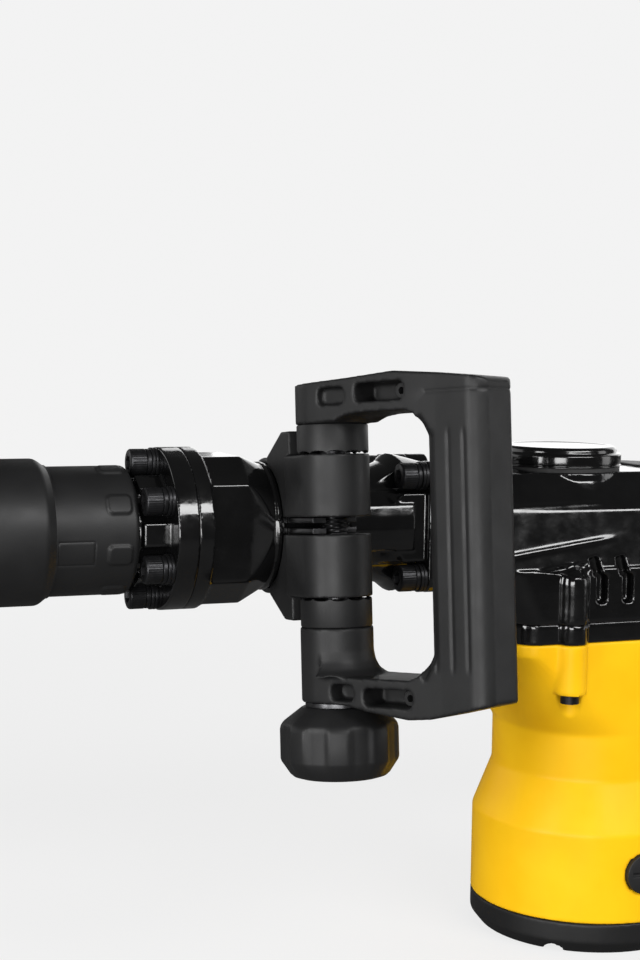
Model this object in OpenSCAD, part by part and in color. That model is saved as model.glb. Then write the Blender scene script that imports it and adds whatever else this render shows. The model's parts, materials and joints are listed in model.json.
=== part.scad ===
// Electric demolition hammer with a swivelling D side handle.
// The hammer axis is the X axis: x = 0 is the mouth of the tool bore, +X runs back to the rear
// handle, +Z is up and -Y is the side that carries the side handle.

/* [Tool holder] */
// Radius of the tool bore
tool_bore_r = 9.05; // [9.02:0.01:9.1]
// Depth of the plain round guide at the mouth of the tool bore
plain_guide_l = 24; // [22:1:26]
// Radius of the release collar
collar_r = 33.6; // [33:0.1:34]
// Rear end of the release collar
collar_end = 60; // [59.5:0.1:60.5]
// Radius of the change ring
ring_r = 29.8; // [29:0.1:30]
// Rear end of the change ring
ring_end = 97.5; // [97:0.1:97.8]

/* [Barrel] */
// Radius of the two front flanges
flange_r = 38.1; // [38:0.1:39]
// Front face of the front flange
flange_front = 113; // [113:0.1:113.5]
// Joint between the two front flanges
flange_joint = 123.1; // [123:0.1:123.5]
// Radius of the front bolt circle
bolt_circle_r = 31; // [31:0.1:31.1]
// Half height of the eight-sided neck
neck_half = 34.4; // [34.2:0.1:34.6]
// Radius of the round seat that the clamp turns on
seat_r = 29.5; // [29.3:0.1:29.5]
// Rear face of the barrel, where it meets the gear housing
barrel_end = 250; // [249.8:0.1:250.2]

/* [Impact mechanism] */
// Bore radius of the cylinder liner
liner_r = 20; // [20:0.01:20.02]
// Length of the connecting rod between its two pins
conrod_l = 88; // [87.5:0.1:88.5]
// Throw of the crank
crank_throw = 20; // [19.5:0.1:20]
// Place of the crank axis along the hammer
crank_x = 326; // [325.9:0.1:326.1]

/* [Motor and gears] */
// Place of the armature axis along the hammer
armature_x = 347; // [347:0.1:347.1]
// Gear module
gear_module = 1.5; // [1.49:0.01:1.5]
// Radius of the motor housing's waist
motor_r = 49.5; // [49.4:0.1:50]
// Radius of the motor housing at the brushes
flare_r = 59; // [59:0.1:60]
// Height of the bottom of the end cover
motor_bottom = -212; // [-213:0.5:-211]
// Half width of the lower gear housing
housing_half = 50; // [50:0.5:51]

/* [Side handle] */
// Lean of the clamp about the hammer axis
clamp_tilt = -6; // [-10:1:0]
// Place of the clamp bolt along the hammer
stack_x = 180.6; // [180:0.1:181]
// Distance of the clamp bolt from the hammer axis
stack_y = 56.5; // [56.3:0.1:57]
// Radius of the jaws and hubs on the clamp bolt
stack_r = 16.5; // [16:0.1:16.6]
// Distance from the clamp bolt to the middle of the grip
grip_reach = 77; // [75:1:80]
// Swing of the side handle from straight back towards the outside
grip_swing = 62; // [60:1:65]
// Radius of the clamp knob
knob_r = 26.8; // [26.5:0.1:27]

/* [Hidden] */
$fn = 64;
eps = 0.01;

// Tool holder and locking parts
holder_r = 15;
holder_front = 3;
holder_end = 133;
journal_r = 16;
roller_r = 4;
roller_centre_r = 11.6;
roller_front = 38;
roller_rear = 48;
roller_gap = 0.4;
cone_slope = 0.25;
lock_ring_r = 22;
spring_wire_r = 1;
spring_r = 17.4;
spring_front = 55.2;
spring_rear = 70.8;
spline_sides = 12;
spline_r = 17.9;
tooth_count = 12;

// Barrel
spigot_r = 26.3;
bush_r = 19;
hub_r = 23.9;
hub_front = 98.2;
bolt_angles = [for (i = [0:5]) 60 * i];
rear_bolts = [for (y = [-24, 24]) for (z = [-24.5, 24.5]) [y, z]];
rear_flange_front = 239.5;
washer_h = 5.4;
m8_r = 4;
m8_hole_r = 4.3;
m8_head_r = 6.5;
m8_head_h = 8;
m8_key_r = 3.46;
barrel_r = 26.6;
liner_wall_r = 23.5;
liner_front = 141;
liner_end = 272;

// Impact parts at rest
piston_front = crank_x + crank_throw - conrod_l - 18;
wrist_x = crank_x + crank_throw - conrod_l;
sliding_r = liner_r - 0.05;

// Gear train
pinion_teeth = 10;
wheel_teeth = 24;
drive_teeth = 12;
crank_teeth = 50;
layshaft_x = armature_x + gear_module * (pinion_teeth + wheel_teeth) / 2;

// Housing levels
top_z = 25;
cover_r = 31;
split_z = -46.4;
motor_top = -56.2;
tray_front = 281;
tray_rear = 402;
boss_spots = [for (x = [308.6, 386]) for (y = [-48, 48]) [x, y]];
boss_r = 8;

// Rear handle outline, X and Z
handle_half = 18;
handle_wall = 4;
handle_outline = [[372.2, -19.6], [404.6, -19.6], [404.6, -54], [422, -54], [434, -20], [446, -13],
    [506, -13], [516, -24], [508, -122], [498, -130], [410.4, -134], [410.4, -170], [530, -170],
    [546, -154], [557, 8], [541, 26], [372.2, 26]];
handle_screws = [[388, 2], [424, 10], [456, 4], [538, 2], [530, -148], [450, -152]];
trigger_pivot = [527, -30];

// Clamp levels, measured along the clamp bolt
gap_half = 4;
jaw_end = 32;
index_end = 45.5;
hub_bottom = -79;
bolt_r = 6;

// ---------------------------------------------------------------- helpers

// Turns +Z of its children into +X and starts them at x
module along_x(x = 0) {
    translate([x, 0, 0]) rotate([0, 90, 0]) children();
}

module rod_x(x0, x1, r) {
    along_x(x0) cylinder(h = x1 - x0, r = r);
}

module tube_x(x0, x1, r, inner) {
    difference() {
        rod_x(x0, x1, r);
        rod_x(x0 - 1, x1 + 1, inner);
    }
}

module rod_z(z0, z1, r) {
    translate([0, 0, z0]) cylinder(h = z1 - z0, r = r);
}

module tube_z(z0, z1, r, inner) {
    difference() {
        rod_z(z0, z1, r);
        rod_z(z0 - 1, z1 + 1, inner);
    }
}

// Solid of revolution about X from [radius, x] points
module turned_x(points) {
    rotate([0, 90, 0]) rotate_extrude() polygon(points);
}

// Copies its children at n angles about X
module around_x(n, first = 0) {
    for (i = [0:n - 1]) rotate([first + 360 * i / n, 0, 0]) children();
}

module at_rear_bolts() {
    for (p = rear_bolts) translate([0, p[0], p[1]]) children();
}

// Upright block with rounded vertical corners
module rounded_block(x0, x1, half, r, z0, z1) {
    translate([0, 0, z0]) linear_extrude(z1 - z0) {
        translate([x0 + r, -half]) square([x1 - x0 - 2 * r, 2 * half]);
        translate([x0, -half + r]) square([x1 - x0, 2 * half - 2 * r]);
        for (x = [x0 + r, x1 - r]) for (y = [-half + r, half - r]) translate([x, y]) circle(r);
    }
}

// Ball bearing as a ring with a race groove on both faces, standing on z0
module bearing(z0, z1, r, inner) {
    groove_mid = (r + inner) / 2;
    groove_half = (r - inner) / 6;
    difference() {
        tube_z(z0, z1, r, inner);
        tube_z(z0 - 1, z0 + 0.8, groove_mid + groove_half, groove_mid - groove_half);
        tube_z(z1 - 0.8, z1 + 1, groove_mid + groove_half, groove_mid - groove_half);
    }
}

// Involute polar point at involute angle t for a base radius
function involute(base, t) = [
    base * (cos(t) + t * PI / 180 * sin(t)),
    base * (sin(t) - t * PI / 180 * cos(t))];
function turned(p, a) = [p[0] * cos(a) - p[1] * sin(a), p[0] * sin(a) + p[1] * cos(a)];
// Roll angle at which the involute reaches radius r
function roll(base, r) = r <= base ? 0 : sqrt(pow(r / base, 2) - 1) * 180 / PI;

pressure_angle = 25;
backlash = 0.3;
flank_steps = 4;

// Spur gear with stub teeth; the first tooth is centred on +X turned by phase
module spur_gear(teeth, z0, z1, phase = 0) {
    pitch_r = gear_module * teeth / 2;
    base = pitch_r * cos(pressure_angle);
    tip_r = pitch_r + 0.8 * gear_module;
    root_r = pitch_r - 1.1 * gear_module;
    at_pitch = roll(base, pitch_r);
    pitch_polar = at_pitch - atan(at_pitch * PI / 180);
    half_tooth = 90 / teeth - backlash / (2 * pitch_r) * 180 / PI;
    start_r = max(base, root_r);
    radii = [for (i = [0:flank_steps]) start_r + (tip_r - start_r) * i / flank_steps];
    flank = [for (r = radii) turned(involute(base, roll(base, r)), -half_tooth - pitch_polar)];
    root = turned([root_r, 0], atan2(flank[0][1], flank[0][0]));
    lower = concat([root], flank);
    upper = [for (i = [len(lower) - 1:-1:0]) [lower[i][0], -lower[i][1]]];
    outline = [for (k = [0:teeth - 1]) for (p = concat(lower, upper)) turned(p, 360 * k / teeth + phase)];
    translate([0, 0, z0]) linear_extrude(z1 - z0) polygon(outline);
}

// Round wire bent into an open helix about X
module coil_spring(x0, x1, r, wire, turns, steps = 14, sides = 6) {
    rings = turns * steps;
    points = [for (i = [0:rings]) for (k = [0:sides - 1])
        let (a = 360 * i / steps, b = 360 * k / sides, rr = r + wire * cos(b))
            [x0 + (x1 - x0) * i / rings + wire * sin(b), rr * cos(a), rr * sin(a)]];
    skin = [for (i = [0:rings - 1]) for (k = [0:sides - 1])
        let (n = (k + 1) % sides) [i * sides + k, i * sides + n, (i + 1) * sides + n, (i + 1) * sides + k]];
    first = [for (k = [sides - 1:-1:0]) k];
    last = [for (k = [0:sides - 1]) rings * sides + k];
    polyhedron(points, concat(skin, [first, last]));
}

// Socket head screw along +X; the head's underside is at x = 0
module cap_screw(shank_r, length, head_r, head_h, key_r) {
    difference() {
        rod_x(-head_h, 0, head_r);
        along_x(-head_h - eps) cylinder(h = head_h * 0.55, r = key_r, $fn = 6);
    }
    rod_x(-eps, length, shank_r);
}

// ---------------------------------------------------------------- tool holder

module tool_holder() {
    key_front = 32;
    key_w = 4.5;
    key_h = 2.6;
    color("dimgray") difference() {
        union() {
            rod_x(holder_front, 72, holder_r);
            rod_x(72 - eps, 76, 19);
            along_x(76 - eps) cylinder(h = 21, r = spline_r, $fn = spline_sides);
            rod_x(97 - eps, 127, journal_r);
            rod_x(127 - eps, holder_end, 21);
            rod_x(0, holder_front + eps, 13.4);
        }
        rod_x(-1, plain_guide_l + eps, tool_bore_r);
        rod_x(plain_guide_l, 85, tool_bore_r + 0.3);
        rod_x(84, 98 + eps, 9.1);
        rod_x(98, holder_end + 1, 13.08);
        for (s = [-1, 1]) translate([roller_front - 0.3, -roller_r - 0.3, s > 0 ? 6 : -20])
            cube([roller_rear - roller_front + 0.6, 2 * roller_r + 0.6, 14]);
    }
    color("dimgray") for (a = [90, 270]) rotate([a, 0, 0])
        translate([key_front, -key_w / 2, tool_bore_r - key_h]) cube([50, key_w, key_h + 1]);
}

module dust_cap() {
    color("black") turned_x([[13.4, 0.4], [20, 0.8], [23.6, 4], [23.6, 7.6], [15.4, 7.6], [15.4, 3],
        [13.4, 3]]);
}

module release_spring() {
    color("silver") coil_spring(spring_front, spring_rear, spring_r, spring_wire_r, 4);
}

module release_collar() {
    color("#38393b") turned_x([[24.4, 8], [28, 9.5], [32.6, 21], [collar_r, 26], [collar_r, collar_end - 6],
        [collar_r - 2, collar_end], [30.5, collar_end], [30.5, 38], [lock_ring_r, 38], [lock_ring_r, 12],
        [24.4, 12]]);
}

// Steel ring whose taper holds the rollers in and lets them out as it moves back
module lock_ring() {
    taper_at = function(x) roller_centre_r + roller_r + roller_gap + cone_slope * (roller_rear - x);
    color("silver") turned_x([[15.08, 12.2], [lock_ring_r, 12.2], [lock_ring_r, 54], [15.08, 54],
        [15.08, 52], [taper_at(roller_rear + 2), roller_rear + 2], [taper_at(34), 34], [19.5, 26],
        [15.08, 26]]);
}

module lock_roller(side) {
    translate([0, 0, side * roller_centre_r]) rod_x(roller_front, roller_rear, roller_r);
}
module lock_roller_top() {
    color("gainsboro") lock_roller(1);
}
module lock_roller_bottom() {
    color("gainsboro") lock_roller(-1);
}

module change_ring() {
    pad_r = ring_r + 0.9;
    pad_turn = 15.9;
    color("#3a3b3d") difference() {
        union() {
            turned_x([[26.5, 52], [ring_r, 52], [ring_r, 95.5], [ring_r - 1.2, ring_end], [15, ring_end],
                [15, 82], [26.5, 82]]);
            around_x(8, pad_turn) {
                for (x = [85.4, 91.6]) for (y = [-2.2, 2.2])
                    translate([x, y, 0]) rod_z(ring_r - 3, pad_r, 2.4);
                translate([85.4, -4.6, ring_r - 3]) cube([6.2, 9.2, 3 + pad_r - ring_r]);
                translate([83, -2.2, ring_r - 3]) cube([11, 4.4, 3 + pad_r - ring_r]);
            }
            around_x(tooth_count) translate([ring_end - 1, -1.5, 17.8]) cube([4.4, 3, 4]);
        }
        along_x(80) cylinder(h = 30, r = spline_r + 0.3, $fn = spline_sides);
    }
}

// ---------------------------------------------------------------- barrel

module front_flange() {
    color("#17181a") difference() {
        union() {
            rod_x(hub_front, flange_front + eps, hub_r);
            rod_x(flange_front, flange_joint, flange_r);
            rod_x(flange_joint - eps, 126.5, spigot_r);
            around_x(6, 30) translate([hub_front + 2, -5.5, hub_r - 2])
                cube([flange_front - hub_front - 1, 11, 5]);
        }
        rod_x(hub_front - 1, 102, 22.2);
        rod_x(101, 128, bush_r);
        for (a = bolt_angles) rotate([a, 0, 0]) translate([0, 0, bolt_circle_r])
            rod_x(flange_front - 1, 128, m8_hole_r);
    }
    color("#17181a") around_x(tooth_count, 180 / tooth_count)
        translate([hub_front + 0.5, -2.2, 19.8]) cube([3.2, 4.4, 3.6]);
}

module front_bush() {
    color("darkgoldenrod") tube_x(105.4, 126.4, bush_r, journal_r + 0.06);
}

module oil_seal() {
    color("black") tube_x(102.2, 105.3, bush_r, journal_r + 0.4);
}

module m8_cap_screws() {
    color("#202124") {
        for (a = bolt_angles) rotate([a, 0, 0]) translate([flange_front - washer_h, 0, bolt_circle_r])
            cap_screw(m8_r, 21, m8_head_r, m8_head_h, m8_key_r);
        at_rear_bolts() translate([rear_flange_front - washer_h, 0, 0])
            cap_screw(m8_r, 28, m8_head_r, m8_head_h, m8_key_r);
    }
}

// A spring washer and two flat washers under each head
module washer_set() {
    tube_x(-washer_h, -3.3, m8_head_r - 0.1, m8_hole_r);
    tube_x(-3.2, -1.65, 7, m8_hole_r);
    tube_x(-1.6, 0, 7, m8_hole_r);
}

module m8_washers() {
    color("#2b2c2f") {
        for (a = bolt_angles) rotate([a, 0, 0]) translate([flange_front, 0, bolt_circle_r]) washer_set();
        at_rear_bolts() translate([rear_flange_front, 0, 0]) washer_set();
    }
}

module rear_flange(x0, x1) {
    boss = 7.2;
    rod_x(x0, x1, 29.6);
    at_rear_bolts() rod_x(x0, x1, boss);
    translate([x0, -24 - boss, -24.5]) cube([x1 - x0, 2 * (24 + boss), 49]);
}

// Eight-sided neck, taller than it is wide
module neck(x0, x1) {
    side = 30;
    side_half = 22.5;
    top_half = 14.8;
    translate([x0, 0, 0]) rotate([90, 0, 90]) linear_extrude(x1 - x0) polygon([for (s = [-1, 1])
        each [[s * side, -s * side_half], [s * side, s * side_half], [s * top_half, s * neck_half],
            [-s * top_half, s * neck_half]]]);
}

module barrel_housing() {
    color("#17181a") difference() {
        union() {
            rod_x(flange_joint, 130.4, flange_r);
            neck(130, 149);
            hull() {
                neck(148.5, 149);
                rod_x(163, 163.6, seat_r);
            }
            rod_x(163, 165.3, seat_r + 1.2);
            difference() {
                turned_x([[0, 163.5], [seat_r, 163.5], [seat_r, 199], [barrel_r, 199], [barrel_r, 216],
                    [30, 226], [33.9, 231], [29.6, 248], [29.6, barrel_end], [0, barrel_end]]);
                at_rear_bolts() rod_x(205, rear_flange_front, 8.2);
                for (s = [-1, 1]) translate([205, s > 0 ? 27 : -51, -30])
                    cube([rear_flange_front - 205, 24, 60]);
            }
            translate([199, 0, 0]) rotate([90, 0, 90]) linear_extrude(34)
                polygon([[-20, -10.4], [-28.2, -10.4], [-29.4, -6], [-29.9, 0], [-29.4, 6], [-28, 11],
                    [-22, 17.5], [-15, 17.5]]);
            rear_flange(rear_flange_front, barrel_end);
        }
        rod_x(flange_joint - 1, 126.8, spigot_r);
        rod_x(126, 141, 22.5);
        rod_x(140.5, barrel_end + 1, liner_wall_r);
        for (a = bolt_angles) rotate([a, 0, 0]) translate([0, 0, bolt_circle_r]) rod_x(120, 130, m8_r);
        at_rear_bolts() rod_x(rear_flange_front - 1, barrel_end + 1, m8_hole_r);
    }
}

module cylinder_liner() {
    color("silver") tube_x(liner_front, liner_end, liner_wall_r, liner_r);
}

module damper_ring() {
    color("black") tube_x(133.5, 140.4, 22.5, 10);
}

// ---------------------------------------------------------------- impact mechanism

module beat_piece() {
    color("silver") turned_x([[0, 86], [7, 86], [9, 88], [9, 100], [13, 101.5], [13, 120], [8, 123], [8, 133],
        [7, 134.5], [0, 134.5]]);
}

module striker() {
    color("silver") turned_x([[0, 143.5], [18, 143.5], [sliding_r, 145.5], [sliding_r, 158], [18.2, 158],
        [18.2, 161], [sliding_r, 161], [sliding_r, 173], [0, 173]]);
}

module piston() {
    skirt = wrist_x + 10;
    color("silver") difference() {
        rod_x(piston_front, skirt, sliding_r);
        rod_x(piston_front + 6, skirt + 1, 15);
        translate([wrist_x, 0, 0]) rod_z(-30, 30, 5);
        tube_x(piston_front + 2.5, piston_front + 5, 30, 18.4);
    }
}

module wrist_pin() {
    color("gray") translate([wrist_x, 0, 0]) rod_z(-17, 17, 5);
}

module conrod() {
    big_end_r = 14;
    color("lightgray") difference() {
        union() {
            translate([wrist_x, 0, 0]) rod_z(-6, 6, 9);
            translate([wrist_x + conrod_l, 0, 0]) rod_z(-6, 6, big_end_r);
            translate([wrist_x, -5, -5]) cube([conrod_l, 10, 10]);
        }
        translate([wrist_x, 0, 0]) rod_z(-7, 7, 5.05);
        translate([wrist_x + conrod_l, 0, 0]) rod_z(-7, 7, 7);
    }
}

module crank_pin() {
    color("gray") translate([wrist_x + conrod_l, 0, 0]) rod_z(-8.7, 7.5, 7);
}

module crankshaft() {
    color("gray") translate([crank_x, 0, 0]) difference() {
        union() {
            rod_z(-17, -9, 27.5);
            rod_z(-33.5, -17 + eps, 10);
            rod_z(-48, -33.5 + eps, 8);
            rod_z(-57, -48 + eps, 5);
        }
        for (y = [-19, 19]) translate([8, y, 0]) rod_z(-20, -5, 6);
    }
}

module crank_gear() {
    color("gray") translate([crank_x, 0, 0]) difference() {
        spur_gear(crank_teeth, -46, -36, 180 / crank_teeth);
        rod_z(-50, -30, 8);
        tube_z(-47, -43.5, 30, 15);
    }
}

module intermediate_gear() {
    color("gray") translate([layshaft_x, 0, 0]) {
        rod_z(-84, -72 + eps, 5);
        rod_z(-72, -47 + eps, 7);
        rod_z(-35 - eps, -26, 5);
        spur_gear(wheel_teeth, -71, -61, 180 / wheel_teeth);
        spur_gear(drive_teeth, -47, -35);
    }
}

module crank_bearings() {
    color("silver") translate([crank_x, 0, 0]) {
        bearing(-32, -18, 23.5, 10.05);
        bearing(-57, -49, 13, 5.05);
    }
}

module intermediate_bearings() {
    color("silver") translate([layshaft_x, 0, 0]) {
        tube_z(-34.4, -25, 9, 5.05);
        tube_z(-84, -74, 9, 5.05);
    }
}

module armature_bearings() {
    color("silver") translate([armature_x, 0, 0]) {
        bearing(-82, -74, 14, 6.05);
        bearing(-196, -188, 13, 5.05);
    }
}

// ---------------------------------------------------------------- gear housing

module slab(x0, x1, half, r, z0, z1) {
    rounded_block(x0, x1, half, r, z0, z1, $fn = 32);
}

// Slanted, knee-shaped vent slot at x, cut from both sides
module vent(x) {
    for (s = [-1, 1]) {
        translate([x - 3.5, s > 0 ? housing_half - 6 : -housing_half - 6, -24]) rotate([0, -14, 0])
            cube([5.5, 12, 9]);
        translate([x - 1.6, s > 0 ? housing_half - 6 : -housing_half - 6, -37]) cube([5.5, 12, 14]);
    }
}

module gear_housing() {
    color("#17181a") difference() {
        union() {
            hull() {
                slab(262, 372, 49, 16, -24, -20);
                slab(258, 372, 42, 16, 6, 8);
                slab(264, 372, 27, 20, 20, top_z);
                rod_x(259, 261, 27, $fn = 32);
            }
            hull() {
                slab(tray_front, tray_rear, housing_half, 12, split_z, split_z + 2);
                slab(268, tray_rear, housing_half, 14, -22, -20);
            }
            translate([crank_x, 0, 0]) {
                rod_z(-20, 12, 37);
                translate([0, 0, 12 - eps]) cylinder(h = 9, r1 = 37, r2 = cover_r + 1);
                rod_z(20, top_z, cover_r + 1);
            }
            rear_flange(barrel_end, 261);
            for (p = boss_spots) translate([p[0], p[1], 0]) {
                rod_z(split_z, -26, boss_r);
                translate([0, 0, -26]) sphere(boss_r);
            }
        }
        rod_x(barrel_end - 1, 300, liner_wall_r);
        translate([crank_x, 0, 0]) rod_z(-18, 8.6, 35);
        translate([289, -34.5, -9.2]) cube([72.5, 69, 17.8]);
        translate([crank_x, 0, 0]) rod_z(8, top_z + 1, 28);
        translate([crank_x, 0, 0]) rod_z(top_z, 40, cover_r + 1.2);
        translate([crank_x, 0, 0]) rod_z(-32, -17, 23.5);
        translate([crank_x, 0, 0]) rod_z(-36, -31, 13);
        translate([crank_x, 0, 0]) rod_z(split_z - 1, -34.5, 40);
        translate([layshaft_x, 0, 0]) rod_z(split_z - 1, -34.5, 13);
        translate([layshaft_x, 0, 0]) rod_z(-35, -25, 9);
        at_rear_bolts() rod_x(barrel_end - 1, 264, m8_r);
        for (p = boss_spots) translate([p[0], p[1], 0]) rod_z(split_z - 1, -29, 2.5);
        for (x = [323, 337.5, 352, 366.5]) vent(x);
    }
}

module crank_cover() {
    color("#17181a") translate([crank_x, 0, 0]) rotate_extrude() polygon([[0, 35.2], [24, 35.2], [25, 37],
        [27.6, 37], [28.6, 36], [28.6, 33.6], [cover_r, 33.2], [cover_r, 27], [28, 27], [28, 14], [24, 14],
        [24, 31], [0, 31]]);
}

module crank_cover_seal() {
    color("black") translate([crank_x, 0, 0]) tube_z(top_z, 27, cover_r - 0.6, 28);
}

module bearing_plate() {
    color("#17181a") difference() {
        union() {
            rounded_block(tray_front, tray_rear, housing_half, 12, motor_top, split_z);
            translate([crank_x, 0, 0]) rod_z(-58.6, motor_top + eps, 17);
            rounded_block(321, 396.5, 25, 8, -86, motor_top + eps);
            for (p = boss_spots) translate([p[0], p[1], 0]) rod_z(motor_top, split_z, boss_r);
        }
        translate([crank_x, 0, 0]) rod_z(-57, split_z + 1, 13);
        translate([armature_x, 0, 0]) rod_z(-73, -60, 11);
        translate([layshaft_x, 0, 0]) rod_z(-73, -60, 21);
        translate([layshaft_x, 0, 0]) rod_z(-61, split_z + 1, 12);
        translate([layshaft_x, 0, 0]) rod_z(-84, -72, 9);
        translate([armature_x, 0, 0]) rod_z(-82, -72, 14);
        translate([armature_x, 0, 0]) rod_z(-90, -81, 8);
        for (p = boss_spots) translate([p[0], p[1], 0]) rod_z(motor_top - 1, split_z + 1, 2.8);
    }
}

// ---------------------------------------------------------------- motor

// The four screws of the end cover
module at_cover_screws() {
    cover_screw_r = 51.5;
    for (a = [45:90:315])
        translate([armature_x + cover_screw_r * cos(a), cover_screw_r * sin(a), 0]) children();
}

module motor_housing() {
    pad = [396, 410.2, -168, -136];
    color("#f4c513") difference() {
        union() {
            hull() {
                slab(tray_front, tray_rear + 1.5, housing_half, 12, -62, motor_top);
                translate([armature_x, 0, 0]) rod_z(-104, -98, motor_r);
            }
            hull() {
                slab(366, tray_rear + 1.5, 34, 10, -92, -60);
                translate([armature_x, 0, 0]) rod_z(-122, -120, motor_r - 0.1);
            }
            translate([armature_x, 0, 0]) rod_z(-127, -100, motor_r);
            translate([armature_x, 0, -152]) cylinder(h = 25 + eps, r1 = flare_r, r2 = motor_r);
            translate([armature_x, 0, 0]) rod_z(-196, -152 + eps, flare_r);
            for (p = boss_spots) translate([p[0], p[1], 0]) rod_z(-81, motor_top, boss_r);
            translate([pad[0], -22, pad[2]]) cube([pad[1] - pad[0], 44, pad[3] - pad[2]]);
        }
        translate([armature_x, 0, 0]) rod_z(-157, -88, 46.5);
        difference() {
            translate([armature_x, 0, 0]) rod_z(-197, -156, flare_r - 4);
            at_cover_screws() rod_z(-198, -150, 5.4);
        }
        rounded_block(319.5, 398.5, 26.5, 8, -89, motor_top + 1);
        translate([crank_x, 0, 0]) rod_z(-60, motor_top + 1, 18);
        for (p = boss_spots) translate([p[0], p[1], 0]) {
            rod_z(-100, motor_top + 1, 2.8);
            rod_z(-100, -81, 6);
        }
        for (s = [-1, 1]) translate([armature_x, 0, -171]) rotate([s * 90, 0, 0]) rod_z(40, 70, 10);
        at_cover_screws() rod_z(-197, -184, 2.2);
    }
}

module stator_core() {
    color("gray") translate([armature_x, 0, 0]) difference() {
        tube_z(-153, -105, 46.4, 27.1);
        for (s = [-1, 1]) translate([-9, s > 0 ? 20 : -42, -160]) cube([18, 22, 60]);
    }
}

module field_coils() {
    color("peru") translate([armature_x, 0, 0]) for (s = [-1, 1])
        translate([-8.6, s > 0 ? 29.6 : -41.6, -159]) cube([17.2, 12, 60]);
}

module armature_shaft() {
    color("silver") translate([armature_x, 0, 0]) {
        rod_z(-195.6, -187.6, 5);
        rod_z(-187.6 - eps, -73, 6);
        rod_z(-73 - eps, -60.6, 5.4);
        spur_gear(pinion_teeth, -71, -61);
    }
}

module armature_core() {
    color("saddlebrown") translate([armature_x, 0, 0]) difference() {
        union() {
            rod_z(-155, -103, 26.5);
            rod_z(-161, -99, 21);
        }
        rod_z(-170, -90, 6);
    }
}

module commutator() {
    color("peru") translate([armature_x, 0, 0]) difference() {
        union() {
            rod_z(-180, -162, 16);
            rod_z(-164.5, -162, 18);
        }
        rod_z(-190, -150, 6);
    }
}

module fan() {
    color("dimgray") translate([armature_x, 0, 0]) difference() {
        union() {
            rod_z(-98, -96, 41);
            rod_z(-98, -88.5, 12);
            for (i = [0:11]) rotate([0, 0, 30 * i]) translate([11, -1, -97]) cube([29, 2, 8]);
        }
        rod_z(-99, -80, 6);
    }
}

module brush(side) {
    translate([armature_x - 4, side > 0 ? 16.4 : -34.4, -177]) cube([8, 18, 12]);
}
module brush_left() {
    color("#303030") brush(-1);
}
module brush_right() {
    color("#303030") brush(1);
}

module brush_holders() {
    color("goldenrod") for (s = [-1, 1]) difference() {
        translate([armature_x - 7, s > 0 ? 20 : -54.4, -180]) cube([14, 34.4, 18]);
        translate([armature_x - 4.3, s > 0 ? 19 : -52, -177.3]) cube([8.6, 33, 12.6]);
    }
}

module brush_caps() {
    color("black") for (s = [-1, 1]) translate([armature_x, 0, -171]) rotate([-s * 90, 0, 0]) difference() {
        rod_z(54.6, 60.5, 10);
        translate([-7, -1, 59]) cube([14, 2, 3]);
    }
}

module end_cover() {
    color("#2b2c2f") difference() {
        translate([armature_x, 0, 0]) {
            rotate_extrude() polygon([[0, -205], [40, -205], [46, motor_bottom], [54, motor_bottom],
                [flare_r, -206], [flare_r, -196], [0, -196]]);
            rod_z(-197, -187.6, 17);
        }
        translate([armature_x, 0, 0]) rod_z(-196, -180, 13);
        at_cover_screws() {
            rod_z(-220, -190, 2.7);
            rod_z(-220, -203, 5.2);
        }
    }
}

// Screw along +Z with its head's underside at z = 0
module m5_screw(length) {
    difference() {
        rod_z(-4.5, 0, 4.6);
        translate([0, 0, -4.6]) cylinder(h = 2.6, r = 2.4, $fn = 6);
    }
    rod_z(-eps, length, 2.2);
}

module m5_screws() {
    color("#202124") {
        for (p = boss_spots) translate([p[0], p[1], -81]) m5_screw(50);
        at_cover_screws() translate([0, 0, -203]) m5_screw(17);
        for (p = handle_screws) translate([p[0], -handle_half + 4.6, p[1]]) rotate([-90, 0, 0]) m5_screw(26);
    }
}

// ---------------------------------------------------------------- rear handle

// Plate of the handle's outline, drawn in X and Z, from y0 to y1
module handle_plate(y0, y1, inset) {
    translate([0, y1, 0]) rotate([90, 0, 0]) linear_extrude(y1 - y0)
        offset(r = 5, $fn = 24) offset(delta = -5 - inset) polygon(handle_outline);
}

// Wide block that joins the handle to the gear housing
module handle_head(half, z0, z1, x0, x1) {
    hull() {
        translate([x0, -half, z0]) cube([6, 2 * half, z1 - z0 - 6]);
        translate([x0, -half + 8, z0]) cube([6, 2 * half - 16, z1 - z0]);
        translate([x1, -handle_half + handle_wall, z0 + 6])
            cube([2, 2 * handle_half - 2 * handle_wall, z1 - z0 - 8]);
    }
}

module handle_body() {
    difference() {
        union() {
            handle_plate(-handle_half, handle_half, 0);
            handle_head(41, -19.6, 26, 372.2, 440);
        }
        difference() {
            union() {
                handle_plate(-handle_half + handle_wall, handle_half - handle_wall, handle_wall);
                handle_head(36, -15, 21, 376, 428);
            }
            for (p = handle_screws) translate([p[0], 0, p[1]]) rotate([90, 0, 0]) rod_z(-36, 36, 5);
            translate([trigger_pivot[0], 0, trigger_pivot[1]]) rotate([90, 0, 0]) rod_z(-20, 20, 2.5);
        }
        for (p = handle_screws) translate([p[0], 0, p[1]]) rotate([90, 0, 0]) {
            rod_z(-14, 20, 2.2);
            rod_z(handle_half - 4.6, handle_half + 30, 4.8);
        }
        translate([496, -7.5, -82]) cube([27, 15, 62]);
        translate([528, -20, -106]) rotate([90, 0, 0]) rod_z(-8, 10, 5.8);
        translate([467, -4, 12]) cube([26, 8, 20]);
        translate([526, 0, 0]) rod_z(-171, -164, 7);
    }
}

module rear_handle_left() {
    color("#323335") intersection() {
        handle_body();
        translate([360, -60, -200]) cube([220, 60, 260]);
    }
}

module rear_handle_right() {
    color("#323335") intersection() {
        handle_body();
        translate([360, 0, -200]) cube([220, 60, 260]);
    }
}

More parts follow.
